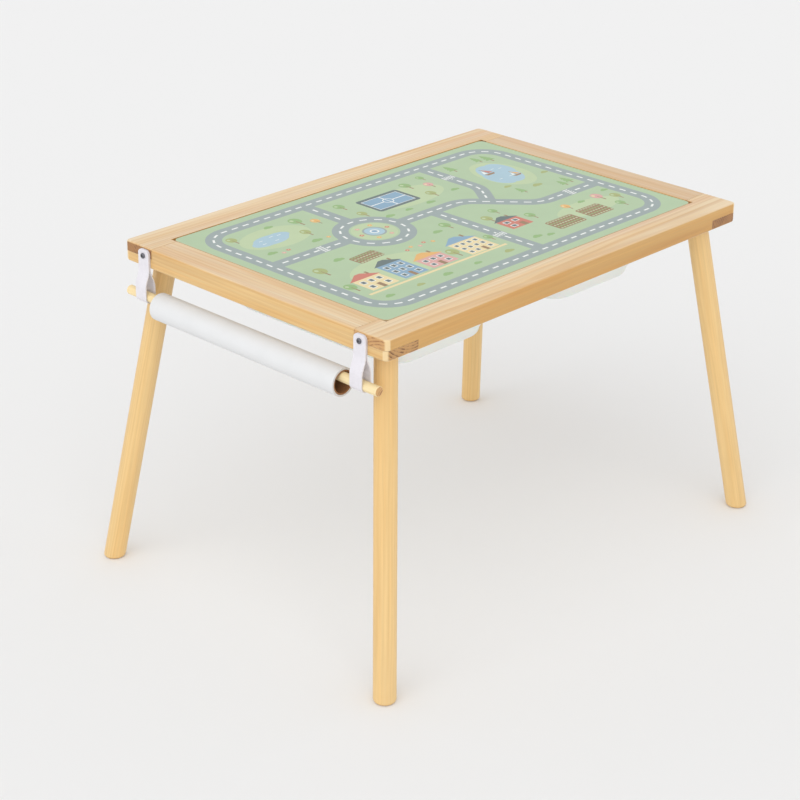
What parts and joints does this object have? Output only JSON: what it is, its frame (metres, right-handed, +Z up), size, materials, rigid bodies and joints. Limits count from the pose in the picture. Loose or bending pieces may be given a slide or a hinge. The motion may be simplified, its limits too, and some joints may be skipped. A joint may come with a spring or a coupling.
{
  "type": "activity table",
  "caption": "Low wooden play table on splayed round legs, with a lift-out board over hanging bins and a paper roll on a rod at one end.",
  "frame": {"origin": "on the floor under the middle of the frame", "axes": "+X along the table's length away from the paper roll, +Y across its depth, +Z up; the paper roll hangs at the -X end"},
  "size_m": [0.829, 0.6, 0.506],
  "materials": {
    "frame_wood": "clear-varnished pine, satin",
    "leg_wood": "clear-varnished turned wood, satin",
    "bolt_steel": "zinc plated",
    "insert_brass": "plain",
    "strap_leather": "smooth white",
    "screw_steel": "dark plated",
    "board_print": "printed fibreboard, satin",
    "bin_plastic": "white, slightly translucent",
    "dowel_wood": "clear-varnished round rod",
    "core_board": "brown wound cardboard, matte",
    "roll_paper": "uncoated white drawing paper"
  },
  "bodies": {
    "table": {"front_rail": "frame_wood", "back_rail": "frame_wood", "left_rail": "frame_wood", "right_rail": "frame_wood", "leg_front_left": "leg_wood", "leg_front_right": "leg_wood", "leg_back_left": "leg_wood", "leg_back_right": "leg_wood", "hanger_bolt_front_left": "bolt_steel", "hanger_bolt_front_right": "bolt_steel", "hanger_bolt_back_left": "bolt_steel", "hanger_bolt_back_right": "bolt_steel", "insert_nut_front_left": "insert_brass", "insert_nut_front_right": "insert_brass", "insert_nut_back_left": "insert_brass", "insert_nut_back_right": "insert_brass", "strap_front": "strap_leather", "strap_back": "strap_leather", "strap_screw_front": "screw_steel", "strap_screw_back": "screw_steel"},
    "board": {"play_board": "board_print"},
    "bin_left_body": {"bin_left": "bin_plastic"},
    "bin_right_body": {"bin_right": "bin_plastic"},
    "dowel": {"roller_dowel": "dowel_wood"},
    "roll": {"cardboard_core": "core_board", "paper_roll": "roll_paper"}
  },
  "joints": [
    {"name": "board_lift", "type": "slide", "parent": "table", "child": "board", "axis": [0, 0, 1], "range_m": [0, 0.25]},
    {"name": "bin_left_lift", "type": "slide", "parent": "table", "child": "bin_left_body", "axis": [0, 0, 1], "range_m": [0, 0.125]},
    {"name": "bin_right_lift", "type": "slide", "parent": "table", "child": "bin_right_body", "axis": [0, 0, 1], "range_m": [0, 0.125]},
    {"name": "dowel_slide", "type": "slide", "parent": "table", "child": "dowel", "axis": [0, 1, 0], "range_m": [-0.015, 0.015]},
    {"name": "roll_spin", "type": "hinge", "parent": "dowel", "child": "roll", "pos_m": [-0.37405, 0, 0.4263], "axis": [0, 1, 0], "continuous": true}
  ],
  "couplings": [
    {"joint": "bin_left_lift", "follows": "board_lift", "ratio": 0.5},
    {"joint": "bin_right_lift", "follows": "board_lift", "ratio": 0.5}
  ]
}
